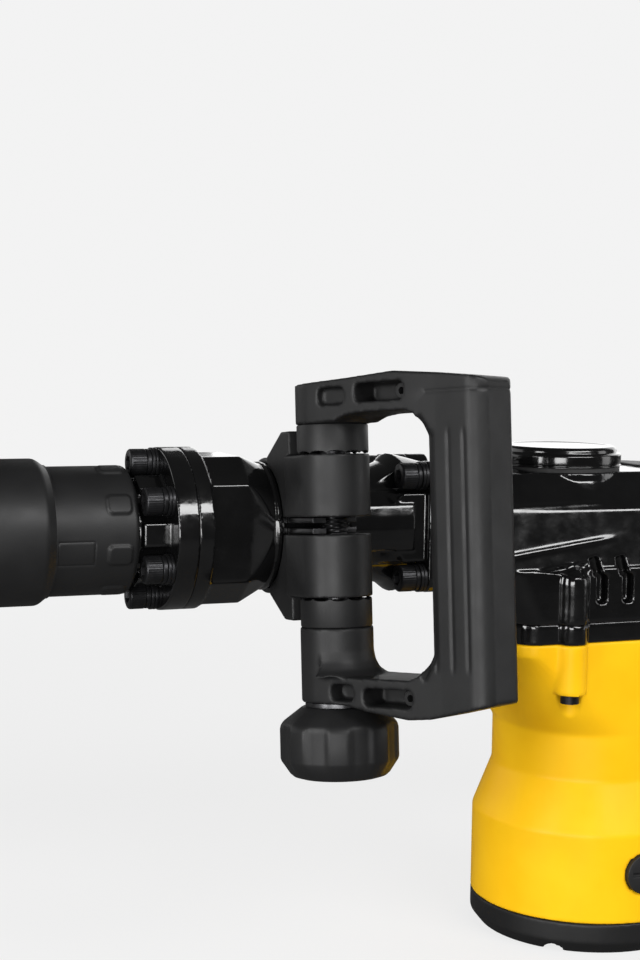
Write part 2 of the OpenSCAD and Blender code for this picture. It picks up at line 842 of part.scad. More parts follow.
module rear_grip_cover() {
    color("#1d1d1f") translate([0, 14, 0]) rotate([90, 0, 0]) linear_extrude(28)
        polygon([[549.1, -108.5], [555.6, -12.5], [559.6, -14.5], [560.2, -22], [555.2, -100], [553, -108]]);
}

module switch_module() {
    color("black") translate([532, -9, -90]) cube([13, 18, 46]);
}

module trigger() {
    color("#b3261e") difference() {
        translate([0, 6.9, 0]) rotate([90, 0, 0]) linear_extrude(13.8)
            polygon([[504, -36], [508, -26], [530.5, -25.5], [531, -34], [524, -48], [520, -74], [506, -71],
                [501, -52]]);
        translate([trigger_pivot[0], 0, trigger_pivot[1]]) rotate([90, 0, 0]) rod_z(-10, 10, 2.56);
    }
}

module lock_button() {
    color("#b3261e") translate([528, 0, -106]) rotate([90, 0, 0]) {
        rod_z(12.4, 22, 5.2);
        rod_z(9.5, 13, 7.5);
    }
}

module speed_dial() {
    color("#1d1d1f") translate([480, 3, 18.5]) rotate([90, 0, 0]) difference() {
        rod_z(0, 6, 11);
        for (i = [0:17]) rotate([0, 0, 20 * i]) translate([11.6, 0, 0]) rod_z(-1, 7, 1.2, $fn = 16);
    }
}

module cord_gland() {
    color("black") translate([526, 0, 0]) difference() {
        union() {
            rod_z(-190, -170, 8.5);
            rod_z(-170 - eps, -164.5, 7);
            rod_z(-173, -170, 10.5);
        }
        rod_z(-191, -164, 4.6);
    }
}

// ---------------------------------------------------------------- clamp and side handle

// Frame of the clamp: leans about the hammer axis, +Z along the clamp bolt
module clamp_frame() {
    rotate([clamp_tilt, 0, 0]) children();
}

module on_stack() {
    translate([stack_x, -stack_y, 0]) children();
}

// Frame with +X along the arms of the side handle
module handle_frame() {
    clamp_frame() on_stack() rotate([0, 0, -grip_swing]) children();
}

// Upper jaw; the lower one is its mirror image
module clamp_jaw() {
    difference() {
        union() {
            on_stack() rod_z(gap_half, jaw_end, stack_r);
            translate([165.6, 0, 0]) rotate([90, 0, 90]) linear_extrude(31)
                polygon([[-39.4, gap_half], [-39.4, 43.4], [-29, 43.4], [-9.2, 32.6], [-9.2, gap_half]]);
            translate([stack_x - stack_r, -stack_y, gap_half]) cube([2 * stack_r, 20, jaw_end - gap_half]);
        }
        rod_x(150, 210, seat_r + 0.5);
        rod_x(167.7, 194.3, 32.8);
        on_stack() rod_z(0, 50, bolt_r + 0.3);
        on_stack() rod_z(jaw_end, 60, stack_r + 0.7);
    }
}

module clamp_jaws() {
    color("#1b1c1e") clamp_frame() {
        clamp_jaw();
        mirror([0, 0, 1]) clamp_jaw();
    }
}

module clamp_band() {
    color("silver") clamp_frame() difference() {
        union() {
            tube_x(168, 194, 32.4, seat_r + 0.4);
            for (z = [1.2, -3.6]) {
                translate([168, -50, z]) cube([26, 20, 2.4]);
                translate([168, -62, z]) cube([6.5, 30, 2.4]);
            }
        }
        rod_x(160, 200, seat_r + 0.4);
        translate([160, -45, -1.2]) cube([40, 20, 2.4]);
        on_stack() rod_z(-10, 10, bolt_r + 0.3);
    }
}

module clamp_bolt() {
    color("silver") clamp_frame() on_stack() {
        rod_z(-106, 53 + eps, bolt_r);
        translate([0, 0, 53]) cylinder(h = 7, r = 10, $fn = 6);
    }
}

// Plan of the handle: round hub, arms tapering to the grip, grip with round corners
module handle_plan() {
    circle(stack_r);
    polygon([[0, -stack_r], [grip_reach - 8, -14], [grip_reach - 8, 14], [0, stack_r]]);
    translate([grip_reach - 9, -14]) square([16, 28]);
    translate([grip_reach - 17, -8]) square([32, 16]);
    for (x = [grip_reach - 9, grip_reach + 7]) for (y = [-6, 6]) translate([x, y]) circle(8);
}

// Side outline of the handle: arched arms and a grip that shortens outwards
module handle_side() {
    polygon([[-20, 46], [14, 46], [20, 48.4], [28, 49.3], [52, 49.3], [57, 47.6], [59.4, 44], [60, 39],
        [60, -55], [59.2, -60], [56.4, -64.4], [51, -66.5], [-20, -66.5],
        [-20, hub_bottom], [stack_r + 1, hub_bottom], [28, -81], [50, -83.6], [62, -82.6],
        [90.6, -76.1], [92.4, -75], [93, -73], [93, 57.2], [92.3, 59.6], [90.5, 61.3], [88, 62.1],
        [70, 64.4], [46, 66.6], [22, 65], [-20, 63]]);
}

// Window pocket from both faces of an arm, down to the web of half thickness web
module arm_window(from, to, z0, z1, web) {
    r = 2.6;
    for (side = [-1, 1]) translate([0, side * (web + 10), 0]) {
        for (x = [from + r, to - r]) for (z = [z0 + r, z1 - r])
            translate([x, 0, z]) rotate([90, 0, 0]) rod_z(-10, 10, r);
        translate([from, -10, z0 + r]) cube([to - from, 20, z1 - z0 - 2 * r]);
        translate([from + r, -10, z0]) cube([to - from - 2 * r, 20, z1 - z0]);
    }
}

// Cuts the inner edge of the grip back by leg
module grip_chamfer(side, leg, z0, z1) {
    translate([grip_reach - 17, side * 14.3, z0]) rotate([0, 0, 45])
        translate([-leg / sqrt(2), -leg / sqrt(2), 0]) cube([leg * sqrt(2), leg * sqrt(2), z1 - z0]);
}

module side_handle() {
    color("#38393b") handle_frame() difference() {
        union() {
            intersection() {
                translate([0, 0, -90]) linear_extrude(180) handle_plan();
                translate([0, 20, 0]) rotate([90, 0, 0]) linear_extrude(40) handle_side();
            }
            rod_z(index_end, 50, stack_r);
            rod_z(hub_bottom, -index_end, stack_r);
            intersection() {
                rotate_extrude() polygon([[0, -56], [stack_r, -56], [17.3, -60.5], [19.2, -64.2],
                    [22.6, -66.6], [0, -66.6]]);
                translate([4, -30, -70]) cube([30, 60, 20]);
            }
        }
        for (side = [-1, 1]) hull() {
            grip_chamfer(side, 7, -56, 38);
            grip_chamfer(side, 1, -66, 47);
        }
        rod_z(-90, 70, bolt_r + 0.08);
        rod_z(52, 70, 11.6);
        arm_window(5.5, 20, 53.5, 61, 12.4);
        arm_window(26, 52, 54, 62, 1.5);
        arm_window(9, 21.5, -77, -69.8, 7.5);
        arm_window(27, 53, -78.4, -70.8, 1.5);
    }
}

// Index rings between the hubs and the jaws
module index_rings() {
    color("#2b2c2f") handle_frame() {
        tube_z(jaw_end + 0.3, index_end, stack_r - 0.3, bolt_r + 0.08);
        tube_z(-index_end, -jaw_end - 0.3, stack_r - 0.3, bolt_r + 0.08);
    }
}

module knob_washer() {
    color("silver") clamp_frame() on_stack() tube_z(-81.2, hub_bottom - 0.1, 15, bolt_r + 0.08);
}

module clamp_knob() {
    color("#38393b") clamp_frame() on_stack() difference() {
        rotate_extrude() polygon([[0, -111], [17, -113.4], [22, -111.4], [knob_r, -105], [knob_r, -91],
            [25.4, -88], [16.5, -81.3], [0, -81.3]]);
        for (i = [0:7]) rotate([0, 0, 45 * i + 10]) translate([knob_r + 15.2, 0, 0]) rod_z(-120, -70, 16.6);
        rod_z(-108, -70, bolt_r + 0.08);
    }
}

front_flange();
m8_cap_screws();
m8_washers();
front_bush();
oil_seal();
barrel_housing();
cylinder_liner();
damper_ring();
gear_housing();
crank_cover();
crank_cover_seal();
crank_bearings();
intermediate_bearings();
armature_bearings();
bearing_plate();
motor_housing();
m5_screws();
stator_core();
field_coils();
brush_holders();
brush_caps();
end_cover();
rear_handle_left();
rear_handle_right();
rear_grip_cover();
switch_module();
cord_gland();
tool_holder();
dust_cap();
release_spring();
release_collar();
lock_ring();
lock_roller_top();
lock_roller_bottom();
change_ring();
beat_piece();
striker();
piston();
wrist_pin();
conrod();
crank_pin();
crankshaft();
crank_gear();
intermediate_gear();
armature_shaft();
armature_core();
commutator();
fan();
brush_left();
brush_right();
trigger();
lock_button();
speed_dial();
clamp_jaws();
clamp_band();
clamp_bolt();
side_handle();
index_rings();
knob_washer();
clamp_knob();
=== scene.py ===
"""Looks of the electric demolition hammer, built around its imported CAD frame."""
import json
import math

import bmesh
import bpy
import numpy as np
from mathutils import Matrix, Vector


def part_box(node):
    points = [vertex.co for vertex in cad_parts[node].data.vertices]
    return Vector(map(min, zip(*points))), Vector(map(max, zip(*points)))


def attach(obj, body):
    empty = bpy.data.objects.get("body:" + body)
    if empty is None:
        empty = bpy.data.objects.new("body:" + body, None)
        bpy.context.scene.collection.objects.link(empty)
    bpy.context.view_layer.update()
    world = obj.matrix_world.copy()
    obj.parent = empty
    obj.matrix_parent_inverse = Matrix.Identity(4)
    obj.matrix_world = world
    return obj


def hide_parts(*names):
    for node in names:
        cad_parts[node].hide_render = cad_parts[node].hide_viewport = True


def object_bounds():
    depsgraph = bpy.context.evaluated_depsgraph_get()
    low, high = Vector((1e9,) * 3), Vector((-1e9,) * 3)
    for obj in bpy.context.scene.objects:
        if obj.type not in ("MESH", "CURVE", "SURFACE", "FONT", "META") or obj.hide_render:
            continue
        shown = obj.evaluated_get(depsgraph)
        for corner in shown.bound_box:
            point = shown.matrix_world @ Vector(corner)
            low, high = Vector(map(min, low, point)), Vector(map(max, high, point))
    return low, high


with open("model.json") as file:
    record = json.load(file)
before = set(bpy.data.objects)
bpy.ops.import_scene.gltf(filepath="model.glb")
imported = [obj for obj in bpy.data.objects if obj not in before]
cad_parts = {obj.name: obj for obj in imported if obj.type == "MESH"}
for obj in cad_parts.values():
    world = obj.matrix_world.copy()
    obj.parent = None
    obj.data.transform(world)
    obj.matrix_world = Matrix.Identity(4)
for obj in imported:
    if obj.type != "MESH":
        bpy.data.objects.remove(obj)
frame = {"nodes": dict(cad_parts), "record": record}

CAD_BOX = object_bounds()
MM = 0.001
NODES = frame["nodes"]
BODY_OF = {n: b for b, members in frame["record"]["behaviour"]["bodies"].items() for n in members}


# ---------------------------------------------------------------- materials


def shader_tree(name):
    """A new material, with its node tree, its Principled shader and its coordinates in millimetres."""
    material = bpy.data.materials.new(name)
    material.use_nodes = True
    tree = material.node_tree
    shader = tree.nodes["Principled BSDF"]
    coordinates = tree.nodes.new("ShaderNodeTexCoord")
    scale = tree.nodes.new("ShaderNodeVectorMath")
    scale.operation = "SCALE"
    scale.inputs["Scale"].default_value = 1 / MM
    tree.links.new(coordinates.outputs["Object"], scale.inputs[0])
    return material, tree, shader, scale.outputs["Vector"]


def noise(tree, where, size_mm, detail=2.0, stretch=(1, 1, 1)):
    """Noise whose features are about size_mm across, stretched along the axes."""
    squeeze = tree.nodes.new("ShaderNodeVectorMath")
    squeeze.operation = "DIVIDE"
    squeeze.inputs[1].default_value = [size_mm * s for s in stretch]
    tree.links.new(where, squeeze.inputs[0])
    texture = tree.nodes.new("ShaderNodeTexNoise")
    texture.inputs["Scale"].default_value = 1.0
    texture.inputs["Detail"].default_value = detail
    tree.links.new(squeeze.outputs["Vector"], texture.inputs["Vector"])
    return texture.outputs["Fac"]


def spread(tree, value, low, high, start=0.3, end=0.7):
    """Value, taken from start..end, spread over low..high."""
    node = tree.nodes.new("ShaderNodeMapRange")
    node.inputs["From Min"].default_value = start
    node.inputs["From Max"].default_value = end
    node.inputs["To Min"].default_value = low
    node.inputs["To Max"].default_value = high
    tree.links.new(value, node.inputs["Value"])
    return node.outputs["Result"]


# Sockets of a colour mix, which share their names with those of the other kinds of mix.
FACTOR, COLOUR_A, COLOUR_B, COLOUR_OUT = 0, 6, 7, 2


def tint(tree, factor, first, second):
    """A colour between first and second; first is a colour or another node's output."""
    node = tree.nodes.new("ShaderNodeMix")
    node.data_type = "RGBA"
    if isinstance(first, bpy.types.NodeSocket):
        tree.links.new(first, node.inputs[COLOUR_A])
    else:
        node.inputs[COLOUR_A].default_value = (*first, 1)
    node.inputs[COLOUR_B].default_value = (*second, 1)
    tree.links.new(factor, node.inputs[FACTOR])
    return node.outputs[COLOUR_OUT]


def edge_wear(tree, where, amount):
    """From 0 to amount on convex edges, broken up by noise."""
    geometry = tree.nodes.new("ShaderNodeNewGeometry")
    edges = spread(tree, geometry.outputs["Pointiness"], 0.0, 1.0, 0.53, 0.62)
    patches = spread(tree, noise(tree, where, 6.0, 4.0), 0.0, amount, 0.5, 0.72)
    both = tree.nodes.new("ShaderNodeMath")
    both.operation = "MULTIPLY"
    tree.links.new(edges, both.inputs[0])
    tree.links.new(patches, both.inputs[1])
    return both.outputs["Value"]


def bump(tree, shader, layers):
    """Chains bump nodes, one for each (height, depth in millimetres)."""
    last = None
    for height, depth in layers:
        node = tree.nodes.new("ShaderNodeBump")
        node.inputs["Distance"].default_value = depth * MM
        node.inputs["Strength"].default_value = 1.0
        tree.links.new(height, node.inputs["Height"])
        if last is not None:
            tree.links.new(last, node.inputs["Normal"])
        last = node.outputs["Normal"]
    tree.links.new(last, shader.inputs["Normal"])


def moulded(name, colour, lighter, rough, grain_mm=0.55, depth=0.03, worn=0.25, shine=0.42):
    """Moulded plastic: spark-eroded grain, soft colour drift and rubbed edges."""
    material, tree, shader, where = shader_tree(name)
    drift = tint(tree, spread(tree, noise(tree, where, 30.0, 3.0), 0, 1), colour, lighter)
    bright = [min(1, c * 1.6 + 0.01) for c in lighter]
    tree.links.new(tint(tree, edge_wear(tree, where, worn), drift, bright), shader.inputs["Base Color"])
    patches = spread(tree, noise(tree, where, 14.0, 4.0), rough - 0.05, rough + 0.06)
    tree.links.new(patches, shader.inputs["Roughness"])
    shader.inputs["Specular IOR Level"].default_value = shine
    bump(tree, shader, [(noise(tree, where, grain_mm, 3.0), depth)])
    return material


def enamel(name, colour, rough=0.13):
    """Glossy stoved enamel over a casting: orange peel, faint waviness and dulled patches."""
    material, tree, shader, where = shader_tree(name)
    drift = tint(tree, spread(tree, noise(tree, where, 20.0, 3.0), 0, 1), colour,
                 [c * 1.5 + 0.001 for c in colour])
    tree.links.new(drift, shader.inputs["Base Color"])
    tree.links.new(spread(tree, noise(tree, where, 9.0, 5.0), rough - 0.03, rough + 0.1, 0.35, 0.75),
                   shader.inputs["Roughness"])
    shader.inputs["Coat Weight"].default_value = 0.35
    shader.inputs["Coat Roughness"].default_value = 0.06
    bump(tree, shader, [(noise(tree, where, 7.0, 2.0), 0.12), (noise(tree, where, 1.6, 2.0), 0.01)])
    return material


def metal(name, colour, darker, rough, metallic=1.0, streak=(1, 1, 1), depth=0.01):
    """Bare or treated metal with fine machining streaks and uneven tone."""
    material, tree, shader, where = shader_tree(name)
    drift = tint(tree, spread(tree, noise(tree, where, 5.0, 4.0), 0, 1), colour, darker)
    tree.links.new(drift, shader.inputs["Base Color"])
    shader.inputs["Metallic"].default_value = metallic
    tree.links.new(spread(tree, noise(tree, where, 3.0, 4.0), rough - 0.06, rough + 0.1),
                   shader.inputs["Roughness"])
    bump(tree, shader, [(noise(tree, where, 0.5, 3.0, streak), depth)])
    return material


def soft_rubber(name, colour, lighter):
    """Soft rubber: nearly matt, with a fine pitted skin and a dusty bloom."""
    material, tree, shader, where = shader_tree(name)
    drift = tint(tree, spread(tree, noise(tree, where, 12.0, 5.0), 0, 1), colour, lighter)
    tree.links.new(drift, shader.inputs["Base Color"])
    tree.links.new(spread(tree, noise(tree, where, 4.0, 4.0), 0.6, 0.8), shader.inputs["Roughness"])
    shader.inputs["Sheen Weight"].default_value = 0.08
    bump(tree, shader, [(noise(tree, where, 0.8, 3.0), 0.05)])
    return material


def winding(name, colour, darker):
    """Varnished copper wire laid in turns."""
    material, tree, shader, where = shader_tree(name)
    wave = tree.nodes.new("ShaderNodeTexWave")
    wave.bands_direction = "Z"
    wave.inputs["Scale"].default_value = 0.35
    wave.inputs["Distortion"].default_value = 1.2
    tree.links.new(where, wave.inputs["Vector"])
    tree.links.new(tint(tree, wave.outputs["Fac"], darker, colour), shader.inputs["Base Color"])
    shader.inputs["Metallic"].default_value = 0.8
    shader.inputs["Roughness"].default_value = 0.3
    bump(tree, shader, [(wave.outputs["Fac"], 0.3)])
    return material


MATERIALS = {
    "black_enamel": enamel("black_enamel", (0.0022, 0.0022, 0.0023)),
    "black_oxide_steel": metal("black_oxide_steel", (0.028, 0.028, 0.03), (0.016, 0.016, 0.017),
                               0.36, 0.75),
    "dark_grey_plastic": moulded("dark_grey_plastic", (0.009, 0.009, 0.0092), (0.0125, 0.0125, 0.0128),
                                 0.46, shine=0.3),
    "black_plastic": moulded("black_plastic", (0.011, 0.011, 0.0115), (0.015, 0.015, 0.0155), 0.5),
    "yellow_plastic": moulded("yellow_plastic", (0.93, 0.5, 0.006), (0.98, 0.56, 0.01),
                              0.36, grain_mm=0.8, depth=0.012, worn=0.1, shine=0.15),
    "red_plastic": moulded("red_plastic", (0.5, 0.02, 0.012), (0.58, 0.03, 0.02), 0.38),
    "black_rubber": soft_rubber("black_rubber", (0.012, 0.012, 0.012), (0.02, 0.02, 0.02)),
    # Ground steel gets a colour far darker than bare steel: painted shade, so that the clamp band, the
    # clamp bolt and the knob washer look shaded in the clamp gap.
    "ground_steel": metal("ground_steel", (0.1, 0.1, 0.103), (0.06, 0.06, 0.062),
                          0.34, streak=(8, 1, 1)),
    "machined_aluminium": metal("machined_aluminium", (0.72, 0.72, 0.73), (0.6, 0.6, 0.61), 0.34),
    "bronze": metal("bronze", (0.55, 0.33, 0.13), (0.42, 0.25, 0.1), 0.4),
    "copper": winding("copper", (0.75, 0.31, 0.13), (0.4, 0.14, 0.05)),
    "carbon_brush": metal("carbon_brush", (0.03, 0.03, 0.032), (0.018, 0.018, 0.02), 0.55, 0.3),
}
SLOT_OF = {row["node"]: row["material_slot"] for row in frame["record"]["subparts"]}

# ---------------------------------------------------------------- mesh work


def paint(obj, slot):
    obj.data.materials.clear()
    obj.data.materials.append(MATERIALS[slot])


def settle(obj, sharp_deg=32.0):
    """Applies obj's modifiers and shades it smooth, but for edges sharper than sharp_deg."""
    bpy.context.view_layer.update()
    made = bpy.data.meshes.new_from_object(obj.evaluated_get(bpy.context.evaluated_depsgraph_get()))
    obj.modifiers.clear()
    obj.data = made
    made.shade_smooth()
    made.set_sharp_from_angle(angle=math.radians(sharp_deg))
    return obj


def stand_for(obj, node):
    """obj takes the place, the body and the finish of a CAD node."""
    paint(obj, SLOT_OF[node])
    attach(obj, BODY_OF[node])
    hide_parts(node)


def welded(node):
    """A new object with the node's CAD surface, closed and with its flat faces whole."""
    mesh = NODES[node].data.copy()
    if "custom_normal" in mesh.attributes:
        mesh.attributes.remove(mesh.attributes["custom_normal"])
    shape = bmesh.new()
    shape.from_mesh(mesh)
    bmesh.ops.remove_doubles(shape, verts=shape.verts, dist=0.002 * MM)
    shape.to_mesh(mesh)
    shape.free()
    obj = bpy.data.objects.new(node + "_skin", mesh)
    bpy.context.scene.collection.objects.link(obj)
    return obj


def carve(obj, depth_at):
    """Moves each vertex along its normal by what depth_at gives for the points, all in millimetres."""
    mesh = obj.data
    spots = np.empty(len(mesh.vertices) * 3, np.float32)
    normals = np.empty_like(spots)
    mesh.vertices.foreach_get("co", spots)
    mesh.vertex_normals.foreach_get("vector", normals)
    spots, normals = spots.reshape(-1, 3) / MM, normals.reshape(-1, 3)
    moved = spots + normals * depth_at(spots, normals)[:, None]
    mesh.vertices.foreach_set("co", (moved * MM).ravel())
    mesh.update()


# How much of a cast piece's faces is kept when its flat stretches are thinned out.
SHARE_KEPT = 0.45


def cast(node, voxel_mm, passes, depth_at=None):
    """The node as it comes from the mould: every edge rounded, flat stretches thinned out."""
    obj = welded(node)
    remesh = obj.modifiers.new("voxels", "REMESH")
    remesh.mode = "VOXEL"
    remesh.voxel_size = voxel_mm * MM
    smooth = obj.modifiers.new("rounding", "SMOOTH")
    smooth.factor = 0.5
    smooth.iterations = passes
    if depth_at:
        carve(settle(obj), depth_at)
    thin = obj.modifiers.new("thinning", "DECIMATE")
    thin.ratio = SHARE_KEPT
    stand_for(settle(obj, 60), node)


def machined(node, bevel_mm):
    """The node with its sharp edges broken by a small bevel."""
    obj = welded(node)
    shape = bmesh.new()
    shape.from_mesh(obj.data)
    bmesh.ops.dissolve_limit(shape, angle_limit=math.radians(0.8), verts=shape.verts, edges=shape.edges)
    shape.to_mesh(obj.data)
    shape.free()
    bevel = obj.modifiers.new("broken_edges", "BEVEL")
    bevel.limit_method = "ANGLE"
    bevel.angle_limit = math.radians(35)
    bevel.width = bevel_mm * MM
    bevel.segments = 2
    bevel.use_clamp_overlap = True
    normals = obj.modifiers.new("flat_faces", "WEIGHTED_NORMAL")
    normals.keep_sharp = True
    stand_for(settle(obj, 50), node)


# ---------------------------------------------------------------- turned pieces


def value_at(value, angle):
    """A fixed value, or what a function gives at the angle."""
    return value(angle) if callable(value) else value


def soften(points, steps=4):
    """The outline with its corners rounded; a point is (place, radius, fillet)."""
    made = []
    befores, afters = points[-1:] + points[:-1], points[1:] + points[:1]
    for before, (x, r, fillet), after in zip(befores, points, afters):
        corner = Vector((x, r))
        back, ahead = Vector(before[:2]) - corner, Vector(after[:2]) - corner
        if fillet == 0 or back.length < 1e-6 or ahead.length < 1e-6:
            made.append((x, r))
            continue
        reach = min(fillet, 0.49 * back.length, 0.49 * ahead.length)
        start, end = corner + back.normalized() * reach, corner + ahead.normalized() * reach
        for k in range(steps + 1):
            t = k / steps
            spot = start * (1 - t) ** 2 + corner * 2 * t * (1 - t) + end * t ** 2
            made.append((spot.x, spot.y))
    return made


def revolve(name, rings, steps=96, closed=False):
    """A turned piece about +X in millimetres; a ring is (place, radius), fixed or by angle."""
    shape = bmesh.new()
    rows = []
    for place, radius in rings:
        if not callable(radius) and radius < 1e-6:
            rows.append([shape.verts.new((value_at(place, 0) * MM, 0, 0))])
            continue
        row = []
        for k in range(steps):
            angle = math.tau * k / steps
            x, r = value_at(place, angle) * MM, value_at(radius, angle) * MM
            row.append(shape.verts.new((x, r * math.cos(angle), r * math.sin(angle))))
        rows.append(row)
    for one, two in zip(rows, rows[1:] + (rows[:1] if closed else [])):
        for k in range(steps):
            ring = [one[k % len(one)], one[(k + 1) % steps % len(one)],
                    two[(k + 1) % steps % len(two)], two[k % len(two)]]
            corners = list(dict.fromkeys(ring))
            if len(corners) > 2:
                shape.faces.new(corners)
    bmesh.ops.recalc_face_normals(shape, faces=shape.faces)
    return mesh_object(name, shape)


def mesh_object(name, shape, sharp_deg=34.0):
    """An object from a bmesh, smooth but for its sharp edges."""
    mesh = bpy.data.meshes.new(name)
    shape.to_mesh(mesh)
    shape.free()
    mesh.shade_smooth()
    mesh.set_sharp_from_angle(angle=math.radians(sharp_deg))
    obj = bpy.data.objects.new(name, mesh)
    bpy.context.scene.collection.objects.link(obj)
    return obj


def put(obj, matrix):
    """Moves the mesh itself, so that the object stays at the origin."""
    obj.data.transform(matrix)
    return obj


def islands(node):
    """The boxes (low, high) of the node's separate solids, in millimetres."""
    shape = bmesh.new()
    shape.from_mesh(NODES[node].data)
    bmesh.ops.remove_doubles(shape, verts=shape.verts, dist=0.002 * MM)
    left, boxes = set(shape.verts), []
    while left:
        group, edge = set(), [left.pop()]
        while edge:
            vert = edge.pop()
            group.add(vert)
            for link in vert.link_edges:
                other = link.other_vert(vert)
                if other in left:
                    left.discard(other)
                    edge.append(other)
        spots = [v.co / MM for v in group]
        boxes.append([Vector([pick(c[i] for c in spots) for i in range(3)]) for pick in (min, max)])
    shape.free()
    return sorted(boxes, key=lambda box: [round(c, 1) for c in box[0]])


# Turned pieces are made along +X: these stand them up along +Z or -Z, and lay them along +Y.
UPRIGHT = Matrix.Rotation(-math.pi / 2, 4, "Y")
UPSIDE_DOWN = Matrix.Rotation(math.pi / 2, 4, "Y")
ACROSS = Matrix.Rotation(math.pi / 2, 4, "Z")


def hexagon(flats):
    """Radius by angle of a hexagon with that distance across its flats."""
    return lambda a: flats / 2 / math.cos((a + math.pi / 6) % (math.pi / 3) - math.pi / 6)


def knurl(radius, count, depth):
    """Radius by angle of a knurled round."""
    return lambda a: radius - depth * abs(math.sin(a * count / 2)) ** 0.7


HEAD_R, HEAD_H, KEY_FLATS, SHANK_R = 6.5, 8.0, 6.0, 4.0
WASHER_BORE = 4.3
# Each washer is (near face, far face, radius), with the last one lying on the casting at 0.
WASHER_STACK = ((-5.4, -3.35, 6.4), (-3.2, -1.7, 7.0), (-1.55, 0.0, 7.0))
# Each screw's hexagon stands this much further round than the one before it, in radians.
SCREW_TURN = 0.7


def socket_screw(name, length):
    """M8 socket head screw along +X; the head's underside is at x = 0."""
    top = -HEAD_H
    knurled = knurl(HEAD_R, 36, 0.14)
    rings = [(top + 3.6, 0), (top + 4.4, hexagon(KEY_FLATS * 0.8)), (top + 4.4, hexagon(KEY_FLATS)),
             (top + 0.5, hexagon(KEY_FLATS)), (top, hexagon(KEY_FLATS * 1.09)), (top, HEAD_R - 1.1),
             (top + 0.25, HEAD_R - 0.5), (top + 0.8, HEAD_R - 0.08), (top + 1.1, knurled),
             (-0.7, knurled), (-0.45, HEAD_R - 0.1), (0, HEAD_R - 0.5),
             (0, SHANK_R), (length, SHANK_R), (length, 0)]
    return revolve(name, rings, 144)


def washer(name, x0, x1, outer, inner, edge=0.3):
    """Flat ring with rounded edges."""
    outline = [(x0, inner, 0.1), (x0, outer, edge), (x1, outer, edge), (x1, inner, 0.1)]
    return revolve(name, soften(outline, 2), 64, closed=True)


def barrel_screws():
    """The ten M8 screws with a spring washer and two flat washers under each head."""
    for number, (low, high) in enumerate(islands("m8_cap_screws"), 1):
        middle = (low + high) / 2
        seat = low.x + HEAD_H
        turn = Matrix.Rotation(number * SCREW_TURN, 4, "X")
        at = Matrix.Translation(Vector((seat, middle.y, middle.z)) * MM)
        screw = socket_screw(f"m8_screw_{number:02d}", high.x - seat)
        stand_for(put(screw, at @ turn), "m8_cap_screws")
        under = Matrix.Translation(Vector((seat - WASHER_STACK[0][0], middle.y, middle.z)) * MM)
        for k, (x0, x1, outer) in enumerate(WASHER_STACK, 1):
            ring = washer(f"m8_washer_{number:02d}_{k}", x0, x1, outer, WASHER_BORE)
            stand_for(put(ring, under), "m8_washers")


def along(node, axis=0):
    """Both ends of a node along an axis, in millimetres."""
    low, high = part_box(node)
    return low[axis] / MM, high[axis] / MM


def release_collar():
    """Collar with a long soft nose and a conical rear edge that runs into the change ring."""
    front, rear = along("release_collar")
    outer = along("release_collar", 2)[1]
    outline = [(front, 24.4, 0.8), (front + 1.5, 28, 1.5), (front + 13, outer - 1, 6),
               (front + 18, outer, 3), (rear - 5, outer, 1.6), (rear - 0.6, outer - 3.2, 0.6),
               (rear, outer - 3.1, 0.3), (rear, 30.5, 0.2), (rear - 22, 30.5, 0), (rear - 22, 24.4, 0)]
    stand_for(revolve("release_collar_shell", soften(outline), 128, closed=True), "release_collar")


def smooth_step(low, high, value):
    """0 at low, 1 at high and a smooth rise between them."""
    t = min(1, max(0, (value - low) / (high - low)))
    return t * t * (3 - 2 * t)


def rounded_rect(u, v, half_u, half_v, corner):
    """Signed distance from (u, v) to a rectangle with round corners."""
    du, dv = abs(u) - half_u + corner, abs(v) - half_v + corner
    return math.hypot(max(du, 0), max(dv, 0)) + min(max(du, dv), 0) - corner


# Twelve positions: the teeth of the change ring and the scallops of the index rings.
POSITIONS = 12
RING_FRONT, RING_REAR, RING_R, RING_EDGE = 52.0, 97.5, 29.8, 2.2
SKIRT_BORE, SKIRT_DEPTH, SPLINE_BORE = 26.5, 30.0, 18.3
TOOTH_SIZE, TOOTH_R = Vector((4.4, 3.0, 3.4)), 20.1
# Grip pads and engraved frame of the change ring, with half their widths and lengths.
PAD_COUNT, PAD_TURN = 8, math.radians(15.9)
PAD_X, PAD_HALF_W, PAD_HALF_L, PAD_H = 88.6, 4.6, 5.6, 1.05
PANEL_X, PANEL_ANGLE = 68.5, math.pi + 0.25
PANEL_HALF_L, PANEL_HALF_W, PANEL_GROOVE = 8.5, 5.6, 0.32


def ring_skin(x):
    """Radius by angle of the change ring's outside at x: its grip pads and its engraved frame."""
    def radius_at(angle):
        pitch = math.tau / PAD_COUNT
        across = ((angle - PAD_TURN + pitch / 2) % pitch - pitch / 2) * RING_R
        gap = rounded_rect(across, x - PAD_X, PAD_HALF_W, PAD_HALF_L, 2.4)
        beside = (angle - PANEL_ANGLE) * RING_R
        line = rounded_rect(beside, x - PANEL_X, PANEL_HALF_W, PANEL_HALF_L, 1.0)
        return (RING_R + PAD_H * smooth_step(0.7, -0.9, gap)
                - PANEL_GROOVE * smooth_step(0.55, 0.15, abs(line)))
    return radius_at


